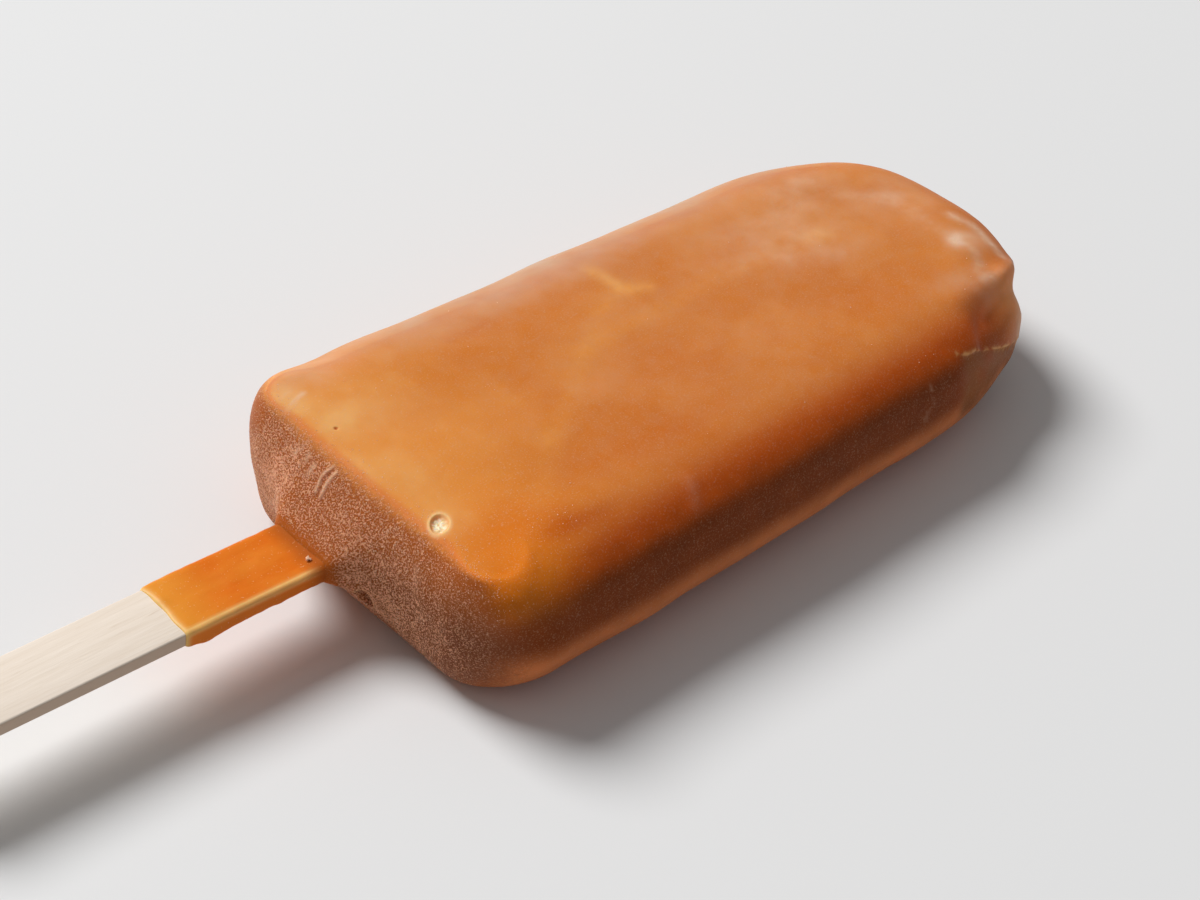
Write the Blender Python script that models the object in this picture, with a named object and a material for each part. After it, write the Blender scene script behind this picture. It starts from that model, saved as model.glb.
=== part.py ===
"""Ice lolly: a caramel-brown bar on a flat wooden stick, lying on its back.

The shape functions work in the bar's own frame: x = 0 at its stick end and
x = BAR_LENGTH at its tip, y = 0 along its middle line, z = 0 halfway through it.
The finished pieces are moved together, so that the part's origin is on the
surface it lies on, under the middle of the whole lolly.
"""
import math

import bmesh
import bpy
import numpy as np
from mathutils import Matrix, Vector

# The bar, in metres.
BAR_LENGTH = 0.1160
BAR_WIDTH = 0.0590
BAR_THICKNESS = 0.0214
# How much narrower the straight sides would be if they ran on to the tip.
SIDE_TAPER = 0.0084
END_CORNER_RADIUS = 0.0123
TIP_LENGTH = 0.0399
TIP_POWER = 2.65

# The rounded edge: how far it reaches in from the outline, and how square it is.
EDGE_INSET_END = 0.0049
EDGE_INSET_END_BACK = 0.0058
EDGE_INSET_SIDE = 0.0126
EDGE_INSET_TIP = 0.0118
# How much less it reaches in at the near and far corners of the stick end.
CORNER_FULLNESS_NEAR = 0.0115
CORNER_FULLNESS_FAR = 0.0080
EDGE_POWER = 2.54

# The stick, which lies off the middle line and points slightly up and aside.
STICK_LENGTH = 0.1140
STICK_WIDTH = 0.0100
STICK_THICKNESS = 0.0021
STICK_SHOWN = 0.0660
STICK_OFFSET = 0.0035
STICK_YAW = math.radians(0.7)
STICK_PITCH = math.radians(0.9)
STICK_EDGE = 0.0003
# A stick's round end takes a little less than half its width at each corner.
ROUND_END_SHARE = 0.49
FIT_GAP = 0.0003

# The coat on the stick, and the collar that it makes where it leaves the bar.
SLEEVE_WALL = 0.00035
SLEEVE_REACH = 0.0266
SLEEVE_ROOT = 0.0080
SLEEVE_EDGE = 0.0005
COLLAR_REACH = 0.0054
COLLAR_FALL = 0.0040
COLLAR_DEPTH = 0.0120
COLLAR_FALL_BELOW = 0.0025

# The low unevenness of the frozen faces.
WAVE_HEIGHT = 0.00012
WAVE_LENGTH_ALONG = 0.041
WAVE_LENGTH_ACROSS = 0.027

# Bumps and dents of the surface: centre, reach, and height, or depth below zero.
SURFACE_MARKS = {
    "fold dent at the tip": ((0.0985, -0.0210, 0.0064), 0.0044, -0.0021),
    "notch over the fold": ((0.1106, -0.0167, 0.0036), 0.0030, -0.0018),
    "lip above the fold": ((0.1116, -0.0132, 0.0066), 0.0022, 0.0005),
    "hollow behind the lip": ((0.1035, -0.0143, 0.0100), 0.0024, -0.0009),
    "swell low by the fold": ((0.1065, -0.0215, -0.0035), 0.0030, 0.0005),
    "swell round the tip": ((0.1110, -0.0030, 0.0080), 0.0070, 0.0003),
    "fullness of the near corner": ((0.0037, -0.0258, 0.0076), 0.0036, 0.0012),
    "softened ridge of the near corner": ((0.0054, -0.0241, 0.0107), 0.0026, -0.0006),
    "shoulder dent": ((0.0150, 0.0262, 0.0085), 0.0050, -0.0004),
    "long swell of the near side": ((0.0520, -0.0275, -0.0050), 0.0200, 0.0004),
    "lump low on the near side": ((0.0290, -0.0285, -0.0055), 0.0060, 0.0006),
    "dip by the near corner": ((0.0130, -0.0285, -0.0060), 0.0060, -0.0004),
    "low far corner of the stick end": ((0.0020, 0.0200, -0.0060), 0.0080, -0.0009),
    "swell at the tip's far side": ((0.0900, 0.0150, 0.0070), 0.0080, 0.0003),
    "dip along the far side": ((0.0400, 0.0260, 0.0070), 0.0120, -0.0003),
}

# Air bubbles that broke open at the surface: centre and radius.
BUBBLES = {
    "bubble on the shown face": ((0.0045, -0.0121, 0.0110), 0.0013),
    "bubble low on the stick end": ((-0.0009, -0.0048, -0.0036), 0.0011),
}

# Grid steps along, across and through the bar.
STEPS_ALONG = 38
STEPS_ACROSS = 20
STEPS_THROUGH = 14
OUTLINE_STEPS = 60
CORNER_STEPS = 7
EDGE_STEPS = 2
BUBBLE_STEPS = 14
SOFTENED_TURN = math.radians(45.0)

COAT_COLOUR = (0.56, 0.205, 0.052, 1.0)
WOOD_COLOUR = (0.80, 0.68, 0.53, 1.0)


def clear_scene():
    for thing in list(bpy.data.objects):
        bpy.data.objects.remove(thing, do_unlink=True)


def new_collection(name):
    collection = bpy.data.collections.new(name)
    bpy.context.scene.collection.children.link(collection)
    return collection


def new_material(name, colour, roughness):
    material = bpy.data.materials.new(name)
    material.use_nodes = True
    shader = material.node_tree.nodes["Principled BSDF"]
    shader.inputs["Base Color"].default_value = colour
    shader.inputs["Roughness"].default_value = roughness
    shader.inputs["Metallic"].default_value = 0.0
    material.diffuse_color = colour
    return material


def new_piece(name, mesh_maker, collection, material=None):
    """An object whose mesh is closed, with its faces pointing out."""
    shape = mesh_maker()
    bmesh.ops.recalc_face_normals(shape, faces=shape.faces[:])
    mesh = bpy.data.meshes.new(name)
    shape.to_mesh(mesh)
    shape.free()
    piece = bpy.data.objects.new(name, mesh)
    collection.objects.link(piece)
    if material:
        mesh.materials.append(material)
    return piece


def new_cutter(name, mesh_maker, collection):
    cutter = new_piece(name, mesh_maker, collection)
    cutter.hide_render = True
    cutter.display_type = "WIRE"
    return cutter


def half_width(x):
    """Half the bar's width at x, before its ends are rounded."""
    return 0.5 * (BAR_WIDTH - SIDE_TAPER * x / BAR_LENGTH)


def half_outline():
    """Half of the bar's plan, from the middle of the stick end to the tip.

    Gives its points, their outward normals and their places along it: 0 to 1 is
    half the stick end, 1 to 2 the long side and 2 to 3 half the tip.
    """
    radius = END_CORNER_RADIUS
    turns = np.linspace(0.0, 0.5 * math.pi, OUTLINE_STEPS)
    end_y = np.linspace(0.0, half_width(0.0) - radius, OUTLINE_STEPS)
    end = np.column_stack([np.zeros(OUTLINE_STEPS), end_y])
    corner = np.column_stack([radius - radius * np.cos(turns), end_y[-1] + radius * np.sin(turns)])
    power = 2.0 / TIP_POWER
    tip_start = BAR_LENGTH - TIP_LENGTH
    tip = np.column_stack([
        tip_start + TIP_LENGTH * np.sin(turns) ** power,
        half_width(tip_start) * np.clip(np.cos(turns), 0.0, 1.0) ** power,
    ])
    side_share = np.linspace(0.0, 1.0, OUTLINE_STEPS)[:, None]
    side = corner[-1] + (tip[0] - corner[-1]) * side_share
    points = np.vstack([end, corner[1:], side[1:], tip[1:]])

    # Mirrored neighbours keep the normals at both ends on the middle line.
    around = np.vstack([points[1] * (1, -1), points, points[-2] * (1, -1)])
    steps = around[2:] - around[:-2]
    normals = np.column_stack([-steps[:, 1], steps[:, 0]])
    normals /= np.linalg.norm(normals, axis=1)[:, None]

    lengths = np.concatenate([[0.0], np.cumsum(np.linalg.norm(np.diff(points, axis=0), axis=1))])
    corner_middle = OUTLINE_STEPS + OUTLINE_STEPS // 2
    tip_corner = 3 * OUTLINE_STEPS + OUTLINE_STEPS // 2
    anchors = [0.0, lengths[corner_middle], lengths[tip_corner], lengths[-1]]
    places = np.interp(lengths, anchors, [0.0, 1.0, 2.0, 3.0])
    return points, normals, places


OUTLINE_POINTS, OUTLINE_NORMALS, OUTLINE_PLACES = half_outline()


def outline_at(a, b):
    """Outline point and normal for a point on the edge of the unit square."""
    side = -1.0 if b < 0.0 else 1.0
    if abs(b) > 0.99999:
        place = 1.5 + 0.5 * a
    elif a < 0.0:
        place = abs(b)
    else:
        place = 3.0 - abs(b)
    point = [np.interp(place, OUTLINE_PLACES, OUTLINE_POINTS[:, axis]) for axis in (0, 1)]
    normal = [np.interp(place, OUTLINE_PLACES, OUTLINE_NORMALS[:, axis]) for axis in (0, 1)]
    size = math.hypot(*normal)
    return (
        np.array([point[0], side * point[1]]),
        np.array([normal[0], side * normal[1]]) / size,
    )


def edge_inset(normal, c):
    """How far the rounded edge reaches in, which differs on ends and sides."""
    stick_end = EDGE_INSET_END if c > 0.0 else EDGE_INSET_END_BACK
    if normal[0] > 0.0:
        return EDGE_INSET_TIP * normal[0] ** 2 + EDGE_INSET_SIDE * normal[1] ** 2
    fullness = CORNER_FULLNESS_NEAR if normal[1] < 0.0 else CORNER_FULLNESS_FAR
    inset = stick_end * normal[0] ** 2 + EDGE_INSET_SIDE * normal[1] ** 2
    return inset - fullness * abs(normal[0] * normal[1]) if c > 0.0 else inset


def edge_point(a, b, c):
    """Point and outward normal on the rounded edge; c is -1 below, 1 above."""
    point, normal = outline_at(a, b)
    inset = edge_inset(normal, c)
    turn = 0.5 * math.pi * (1.0 - (1.0 - abs(c)) ** (0.5 * EDGE_POWER))
    along = max(math.cos(turn), 0.0) ** (2.0 / EDGE_POWER)
    up = math.sin(turn) ** (2.0 / EDGE_POWER)
    height = math.copysign(0.5 * BAR_THICKNESS * up, c)
    flat = point - normal * inset * (1.0 - along)
    tilt = along ** (EDGE_POWER - 1.0) / inset
    lift = math.copysign(up ** (EDGE_POWER - 1.0) / (0.5 * BAR_THICKNESS), c)
    outward = Vector((normal[0] * tilt, normal[1] * tilt, lift)).normalized()
    return Vector((flat[0], flat[1], height)), outward


def face_point(a, b, c):
    """Point inside the top or bottom face, blended from the four edges of it."""
    u, v = 0.5 + 0.5 * a, 0.5 + 0.5 * b

    def rim(along, across):
        return edge_point(along, across, c)[0]

    sides = rim(a, -1.0) * (1.0 - v) + rim(a, 1.0) * v + rim(-1.0, b) * (1.0 - u) + rim(1.0, b) * u
    corners = (
        rim(-1.0, -1.0) * (1.0 - u) * (1.0 - v) + rim(1.0, -1.0) * u * (1.0 - v)
        + rim(-1.0, 1.0) * (1.0 - u) * v + rim(1.0, 1.0) * u * v
    )
    return sides - corners, Vector((0.0, 0.0, c))


def smooth_share(value):
    value = min(max(value, 0.0), 1.0)
    return value * value * (3.0 - 2.0 * value)


def waves(point):
    """Low swells, different on each face."""
    along = 2.0 * math.pi * point.x / WAVE_LENGTH_ALONG
    across = 2.0 * math.pi * point.y / WAVE_LENGTH_ACROSS
    through = 2.0 * math.pi * point.z / BAR_THICKNESS
    swell = math.sin(along + 0.6 * math.sin(across)) + math.sin(1.7 * across + 0.5 * along + 1.0)
    return 0.5 * WAVE_HEIGHT * (swell + math.sin(2.3 * along + 0.5 * through))


def marks(point):
    total = 0.0
    for centre, reach, height in SURFACE_MARKS.values():
        distance = (point - Vector(centre)).length
        total += height * math.exp(-(distance / reach) ** 2)
    return total


def collar(point):
    """How far the coat is drawn out along the stick, near where it enters."""
    beside = max(abs(point.y - STICK_OFFSET) - 0.5 * STICK_WIDTH, 0.0)
    above = max(abs(point.z) - 0.5 * STICK_THICKNESS, 0.0)
    fall = COLLAR_FALL if point.z > 0.0 else COLLAR_FALL_BELOW
    near = math.exp(-math.hypot(beside / COLLAR_FALL, above / fall))
    return COLLAR_REACH * near * smooth_share(1.0 - point.x / COLLAR_DEPTH)


def surface_point(a, b, c):
    """Point of the bar's surface for a point on the surface of the unit cube."""
    on_edge = max(abs(a), abs(b)) > 0.99999
    point, outward = edge_point(a, b, c) if on_edge else face_point(a, b, c)
    # The back stays flat, so that the bar lies still.
    free = smooth_share((point.z / BAR_THICKNESS + 0.5) * 3.0)
    moved = point + outward * (waves(point) + marks(point)) * free
    moved.x -= collar(point)
    return moved


def cube_grid(steps):
    """A cube from -1 to 1, cut into the given number of steps on each axis."""
    shape = bmesh.new()
    bmesh.ops.create_cube(shape, size=2.0)
    for axis, count in enumerate(steps):
        direction = Vector((0.0, 0.0, 0.0))
        direction[axis] = 1.0
        for step in range(1, count):
            place = direction * (2.0 * step / count - 1.0)
            parts = shape.verts[:] + shape.edges[:] + shape.faces[:]
            bmesh.ops.bisect_plane(shape, geom=parts, dist=1e-6, plane_co=place, plane_no=direction)
    return shape


def bar_shape():
    """The bar without its pocket: a cut cube whose points go to the surface."""
    shape = cube_grid((STEPS_ALONG, STEPS_ACROSS, STEPS_THROUGH))
    for vert in shape.verts:
        vert.co = surface_point(*vert.co)
    # The flat back needs no grid.
    back_height = -0.5 * BAR_THICKNESS + 1e-7
    back = [face for face in shape.faces if max(vert.co.z for vert in face.verts) < back_height]
    bmesh.ops.dissolve_faces(shape, faces=back, use_verts=False)
    return shape


def slab_shape(start, end, width, thickness, corner=0.0, edge=0.0):
    """A flat slab along the stick, with round corners in plan and soft edges."""
    shape = bmesh.new()
    bmesh.ops.create_cube(shape, size=1.0)
    bmesh.ops.scale(shape, vec=(end - start, width, thickness), verts=shape.verts)
    bmesh.ops.translate(shape, vec=(0.5 * (start + end), 0.0, 0.0), verts=shape.verts)
    if corner:
        upright = [line for line in shape.edges if line.verts[0].co.xy == line.verts[1].co.xy]
        bmesh.ops.bevel(
            shape, geom=upright, offset=corner, segments=CORNER_STEPS,
            profile=0.5, affect="EDGES", material=-1,
        )
    if edge:
        level = [line for line in shape.edges if line.calc_face_angle() > SOFTENED_TURN]
        level = [line for line in level if corner == 0.0 or line.verts[0].co.z == line.verts[1].co.z]
        bmesh.ops.bevel(
            shape, geom=level, offset=edge, segments=EDGE_STEPS,
            profile=0.5, affect="EDGES", material=-1,
        )
    turn = Matrix.Rotation(-STICK_YAW, 4, "Z") @ Matrix.Rotation(STICK_PITCH, 4, "Y")
    place = Matrix.Translation((0.0, STICK_OFFSET, 0.0)) @ turn
    bmesh.ops.transform(shape, matrix=place, verts=shape.verts)
    return shape


def stick_shape():
    return slab_shape(
        -STICK_SHOWN, STICK_LENGTH - STICK_SHOWN, STICK_WIDTH, STICK_THICKNESS,
        corner=ROUND_END_SHARE * STICK_WIDTH, edge=STICK_EDGE,
    )


def sleeve_shape():
    """The coat that ran down the stick, as a solid that still fills it."""
    grown = 2.0 * (FIT_GAP + SLEEVE_WALL)
    return slab_shape(
        -SLEEVE_REACH, SLEEVE_ROOT, STICK_WIDTH + grown, STICK_THICKNESS + grown, edge=SLEEVE_EDGE,
    )


def pocket_shape():
    """The room that the stick takes up, open at the sleeve's mouth."""
    grown = 2.0 * FIT_GAP
    return slab_shape(
        -STICK_SHOWN, STICK_LENGTH - STICK_SHOWN + FIT_GAP, STICK_WIDTH + grown,
        STICK_THICKNESS + grown, corner=ROUND_END_SHARE * STICK_WIDTH,
    )


def bubble_shape(centre, radius):
    shape = bmesh.new()
    bmesh.ops.create_uvsphere(
        shape, u_segments=BUBBLE_STEPS, v_segments=BUBBLE_STEPS // 2, radius=radius,
    )
    bmesh.ops.translate(shape, vec=centre, verts=shape.verts)
    return shape


def combine(piece, other, operation):
    boolean = piece.modifiers.new(other.name, "BOOLEAN")
    boolean.operation = operation
    boolean.solver = "EXACT"
    boolean.object = other


def make_coated_bar(collection, cutters):
    coat = new_material("caramel coat", COAT_COLOUR, roughness=0.42)
    bar = new_piece("coated_bar", bar_shape, collection, coat)
    combine(bar, new_cutter("sleeve", sleeve_shape, cutters), "UNION")
    combine(bar, new_cutter("pocket", pocket_shape, cutters), "DIFFERENCE")
    for name, (centre, radius) in BUBBLES.items():
        bubble = new_cutter(name, lambda: bubble_shape(centre, radius), cutters)
        combine(bar, bubble, "DIFFERENCE")
    bar.data.shade_smooth()
    return bar


def make_stick(collection):
    wood = new_material("pale wood", WOOD_COLOUR, roughness=0.75)
    stick = new_piece("stick", stick_shape, collection, wood)
    stick.data.shade_smooth()
    stick.data.set_sharp_from_angle(angle=math.radians(40.0))
    return stick


def stand_on_origin(pieces, everything):
    """Move everything so that the origin is under the middle of the pieces."""
    corners = np.array([vert.co for piece in pieces for vert in piece.data.vertices])
    low, high = corners.min(axis=0), corners.max(axis=0)
    middle = 0.5 * (low + high)
    for thing in everything:
        thing.location = (-middle[0], -middle[1], -low[2])


def main():
    clear_scene()
    lolly = new_collection("ice lolly")
    cutters = new_collection("cutters")
    bar = make_coated_bar(lolly, cutters)
    stick = make_stick(lolly)
    stand_on_origin([bar, stick], [bar, stick] + list(cutters.objects))


main()
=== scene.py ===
"""The looks of the ice lolly: its frozen coat, frost, bubbles and wooden stick.

Shapes are worked out in millimetres in the bar's own frame: x = 0 at its stick end
and x = BAR_LENGTH at its tip, y = 0 along its middle line, z = 0 halfway through it.
to_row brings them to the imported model's frame, in metres.
"""

import math

import bmesh
import bpy
import numpy as np
from mathutils import Matrix, Vector, noise
from mathutils.bvhtree import BVHTree


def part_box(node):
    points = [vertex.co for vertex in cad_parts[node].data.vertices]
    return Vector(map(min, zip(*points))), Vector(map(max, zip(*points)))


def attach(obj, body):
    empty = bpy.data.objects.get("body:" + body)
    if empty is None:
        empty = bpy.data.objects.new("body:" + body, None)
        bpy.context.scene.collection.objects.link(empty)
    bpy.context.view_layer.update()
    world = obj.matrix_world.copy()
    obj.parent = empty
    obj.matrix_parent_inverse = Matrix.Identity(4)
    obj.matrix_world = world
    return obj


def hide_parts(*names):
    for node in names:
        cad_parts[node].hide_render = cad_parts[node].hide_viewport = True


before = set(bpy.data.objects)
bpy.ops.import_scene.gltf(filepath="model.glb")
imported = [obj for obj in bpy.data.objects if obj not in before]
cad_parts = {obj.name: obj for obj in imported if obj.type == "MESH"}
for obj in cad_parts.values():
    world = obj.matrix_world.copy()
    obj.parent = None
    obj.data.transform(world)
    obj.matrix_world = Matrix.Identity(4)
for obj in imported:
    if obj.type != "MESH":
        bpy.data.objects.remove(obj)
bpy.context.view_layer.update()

MM = 0.001

# The bar.
BAR_LENGTH = 116.0
BAR_WIDTH = 59.0
BAR_THICKNESS = 21.4
SIDE_TAPER = 8.4
END_CORNER_RADIUS = 12.3
TIP_LENGTH = 39.9
TIP_POWER = 2.65
EDGE_INSET_END = 4.9
EDGE_INSET_END_BACK = 5.8
EDGE_INSET_SIDE = 12.6
EDGE_INSET_TIP = 11.8
CORNER_FULLNESS_NEAR = 11.5
CORNER_FULLNESS_FAR = 8.0
EDGE_POWER = 2.54
OUTLINE_STEPS = 120
NORMAL_BLEND = 20
RELAX_ROUNDS = 60

# The stick and the coat that ran down it.
STICK_LENGTH = 114.0
STICK_WIDTH = 10.0
STICK_THICKNESS = 2.1
STICK_SHOWN = 66.0
STICK_OFFSET = 3.5
STICK_YAW = math.radians(0.7)
STICK_PITCH = math.radians(0.9)
SLEEVE_REACH = 26.6
SLEEVE_COAT = 0.32
COLLAR_REACH = 5.4
COLLAR_FALL = 4.0
COLLAR_FALL_BELOW = 2.5
COLLAR_DEPTH = 12.0
COLLAR_ROUNDING = 0.15

WAVE_HEIGHT = 0.12
WAVE_LENGTH_ALONG = 41.0
WAVE_LENGTH_ACROSS = 27.0

# Bumps and dents of the surface: centre, reach, and height, or depth below zero.
SURFACE_MARKS = {
    "fold dent at the tip": ((98.5, -21.2, 6.2), 4.4, -1.15),
    "notch over the fold": ((110.8, -16.6, 3.4), 2.8, -0.9),
    "lip above the fold": ((111.8, -13.0, 6.6), 2.0, 0.1),
    "hollow behind the lip": ((104.8, -14.0, 10.0), 2.2, -0.5),
    "swell low by the fold": ((106.5, -21.5, -3.5), 3.0, 0.5),
    "swell round the tip": ((111.0, -3.0, 8.0), 7.0, 0.27),
    "fullness of the near corner": ((3.7, -25.8, 7.6), 3.6, 1.2),
    "softened ridge of the near corner": ((5.4, -24.1, 10.7), 2.6, -0.6),
    "shoulder dent": ((15.0, 26.2, 8.5), 5.0, -0.4),
    "long swell of the near side": ((52.0, -27.5, -5.0), 20.0, 0.4),
    "lump low on the near side": ((29.0, -28.5, -5.5), 6.0, 0.6),
    "dip by the near corner": ((13.0, -28.5, -6.0), 6.0, -0.4),
    "low far corner of the stick end": ((2.0, 20.0, -6.0), 8.0, -0.9),
    "swell at the tip's far side": ((90.0, 15.0, 7.0), 8.0, 0.3),
    "dip along the far side": ((40.0, 26.0, 7.0), 12.0, -0.3),
}

# Folds and cracks: the line they follow, their reach, and height or depth.
CREASES = {
    "lip of the fold": (((111.8, -13.6, 6.6), (109.4, -15.2, 7.6), (105.6, -16.4, 8.6)), 1.1, 0.30),
    "lip fading out": (
        ((109.4, -15.2, 7.8), (104.6, -16.6, 8.9), (99.5, -17.2, 9.8), (94.5, -18.0, 10.3)), 1.7, 0.25,
    ),
    "under the lip": (
        (
            (112.6, -15.2, 1.5), (110.6, -17.0, 4.8), (106.6, -18.2, 6.4), (102.4, -19.5, 7.2),
            (99.6, -20.6, 7.0),
        ), 2.0, -0.7,
    ),
    "foot of the fold": (((100.0, -20.6, 7.0), (96.6, -21.8, 7.2), (95.2, -23.0, 6.0)), 2.2, -0.40),
    "bulge beside the fold": (((108.0, -20.2, 2.4), (107.4, -21.0, 1.0), (106.6, -21.6, -1.0)), 1.1, 0.25),
    "line down from the fold": (((96.6, -20.8, 8.4), (95.4, -22.4, 7.6), (94.6, -23.8, 6.4)), 1.1, -0.20),
}

# Fine relief of the finished surface, given in the same way.
SCARS = {
    "upper side of the flake": (((-0.9, 5.9, 6.6), (0.3, 6.3, 8.4), (1.5, 5.6, 9.8)), 0.34, 0.20),
    "lower side of the flake": (((-1.0, 4.8, 6.4), (0.2, 5.0, 8.2), (1.3, 4.7, 9.4)), 0.34, 0.24),
    "between the sides of the flake": (((-0.9, 5.3, 6.6), (0.3, 5.6, 8.2), (1.4, 5.1, 9.5)), 0.30, -0.10),
    "seam low on the stick end": (((0.6, -13.0, 6.6), (0.2, -13.8, 3.0), (0.4, -15.4, -1.0)), 0.5, 0.12),
    "run down the near side": (((37.4, -23.5, 9.7), (36.4, -25.8, 7.6)), 1.3, 0.16),
}

# The chip along the tip's near side: its upper edge, x against z.
CHIP_X = (88.0, 90.4, 92.5, 95.6, 100.6, 105.4, 108.0)
CHIP_Z = (7.6, 6.6, 6.3, 4.9, 2.4, 0.1, -0.8)
CHIP_DEPTH = 0.28
CHIP_STEP = 0.35
CHIP_RUN_IN = 3.0
CHIP_FADE = 7.0

# Layers of unevenness: height, size of the lumps, and seed.
COAT_SWELL = (0.05, 9.0, 1)
COAT_RIPPLE = (0.018, 1.6, 2)
FROST_GRIT = (0.11, 0.75, 3)
FROST_CRUST = (0.16, 3.2, 5)
BUBBLE_GRIT = (0.20, 0.40, 6)
PRICKLE_HEIGHT = 0.05
PRICKLE_SIZE = 0.4

# Air bubbles that broke open: centre on the surface, half sizes along the diagonal,
# across it and upwards, depth, and how pale they are inside.
BUBBLES = {
    "large": ((4.9, -11.6, 10.3), (1.85, 1.25, 1.60), 0.62, 1.0),
    "low": ((-1.0, -4.9, -3.1), (1.60, 1.40, 2.80), 2.80, 0.0),
    "pinhole": ((6.0, 10.7, 10.7), (0.26, 0.26, 0.26), 0.50, 0.0),
}
BUBBLE_STEEPNESS = 0.35
BUBBLE_RIM_PLACE = 1.12
BUBBLE_RIM_WIDTH = 0.12
BUBBLE_PALE_WIDTH = 0.22
BUBBLE_RIM_HEIGHT = 0.05

# Thin places where the coat turns yellow: centre, reach along and across, strength.
THIN_PLACES = (
    ((4.8, 18.2), (2.8, 3.6), 1.00),
    ((3.4, 21.5), (1.6, 1.6), 0.60),
    ((6.5, 11.0), (3.2, 2.8), 1.00),
    ((3.6, 4.0), (1.6, 4.0), 0.40),
    ((12.0, 13.0), (6.0, 5.0), 0.45),
    ((7.0, -1.0), (4.0, 5.5), 0.50),
    ((6.0, -11.0), (3.6, 4.5), 0.55),
    ((12.0, 3.0), (8.0, 5.0), 0.12),
    ((21.0, 3.0), (6.0, 3.0), 0.08),
    ((16.5, -3.0), (5.5, 4.0), 0.14),
    ((56.6, 13.4), (1.0, 3.6), 0.45),
    ((58.0, 10.5), (2.6, 1.4), 0.20),
    ((88.3, 3.6), (2.2, 1.8), 0.50),
)

# Places where the coat pooled and is darker orange.
POOLED_PLACES = (
    ((16.3, -21.0), (3.8, 1.7), 1.00),
    ((22.0, -21.5), (5.0, 1.6), 0.50),
    ((18.5, -18.6), (3.0, 1.6), 0.25),
    ((13.5, -17.0), (3.5, 3.0), 0.25),
    ((44.0, -15.5), (20.0, 4.5), 0.30),
    ((50.0, -5.0), (14.0, 7.0), 0.16),
    ((27.0, 12.0), (4.0, 2.4), 0.14),
    ((86.0, -8.0), (14.0, 7.0), 0.14),
    ((100.5, -20.5), (3.0, 2.6), 0.15),
    ((9.0, -17.0), (5.0, 3.5), 0.28),
    ((25.6, -12.0), (6.0, 4.0), 0.13),
)

# Thin hazes of frost on the shown face.
HAZY_PLACES = (
    ((41.0, -2.5), (5.0, 2.5), 0.07),
    ((52.0, 19.0), (24.0, 4.0), 0.20),
    ((84.0, 9.0), (11.0, 7.0), 0.26),
    ((84.0, 2.8), (5.0, 2.5), 0.16),
    ((95.0, 15.0), (8.0, 4.0), 0.24),
    ((106.0, 4.5), (4.0, 5.0), 0.22),
    ((100.8, -17.7), (3.0, 1.8), 0.32),
    ((9.0, 22.0), (5.0, 3.0), 0.28),
    ((18.0, 24.6), (8.0, 2.5), 0.26),
    ((104.2, -8.4), (1.7, 1.5), 0.85),
    ((106.0, -9.6), (2.6, 2.0), 0.40),
    ((88.1, -0.7), (5.0, 2.2), 0.20),
    ((66.0, -7.0), (20.0, 5.0), 0.04),
    ((101.0, 3.0), (7.0, 6.0), 0.10),
    ((64.0, 6.0), (20.0, 7.0), 0.05),
    ((97.5, -15.0), (5.0, 2.0), 0.20),
    ((14.0, 9.0), (7.0, 5.0), 0.05),
)

# Pale lines of frost: the line, its reach and strength.
PALE_LINES = (
    (
        (
            (104.4, -9.0, 10.5), (105.0, -11.5, 10.3), (103.8, -13.6, 9.9), (101.6, -15.0, 9.5),
            (103.0, -16.4, 9.2),
        ), 0.9, 0.36,
    ),
    (((108.0, -4.0, 10.3), (109.4, -7.5, 9.8), (109.0, -11.1, 9.4), (109.0, -13.2, 8.9)), 1.0, 0.70),
    (((111.4, -13.8, 6.8), (109.4, -15.0, 7.8), (105.6, -16.2, 8.8), (101.1, -16.5, 9.7)), 0.7, 0.30),
    (((109.8, -17.8, 4.4), (108.0, -19.4, 3.6), (107.0, -20.8, 2.6), (106.4, -21.6, 0.8)), 1.4, 0.50),
    (
        (
            (98.0, 9.0, 10.7), (103.4, 5.0, 10.7), (104.0, 0.0, 10.7), (103.6, -4.0, 10.8),
            (104.0, -7.0, 10.7),
        ), 1.4, 0.16,
    ),
    (((3.0, 17.4, 10.4), (5.0, 18.2, 10.6), (7.0, 18.9, 10.7)), 0.34, 0.50),
    (((3.4, 19.4, 10.3), (5.4, 20.2, 10.5)), 0.30, 0.35),
    (((-0.9, 5.9, 6.8), (0.3, 6.3, 8.6), (1.5, 5.6, 10.0)), 0.26, 0.75),
    (((-1.0, 4.8, 6.6), (0.2, 5.0, 8.4), (1.3, 4.7, 9.6)), 0.28, 0.85),
    (((-0.6, 8.6, 7.0), (0.6, 8.2, 8.8)), 0.26, 0.65),
    (((-0.2, 10.4, 7.8), (1.0, 9.8, 9.4)), 0.26, 0.60),
    (((0.2, 12.2, 8.0), (1.2, 11.4, 9.6)), 0.24, 0.55),
    (((0.6, -13.0, 6.6), (0.2, -13.8, 3.0), (0.4, -15.4, -1.0)), 0.45, 0.45),
    (((1.2, -17.0, 5.0), (0.8, -18.2, 1.0)), 0.40, 0.40),
    (((37.4, -23.5, 9.7), (36.4, -25.8, 7.6)), 1.0, 0.10),
    (((81.8, -25.4, 5.8), (81.9, -25.7, 5.0)), 0.20, 0.45),
    (((82.2, -26.1, 3.8), (82.4, -26.3, 2.6)), 0.20, 0.40),
    (((81.2, -26.4, 2.0), (80.8, -26.5, 1.2)), 0.35, 0.35),
)

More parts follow.
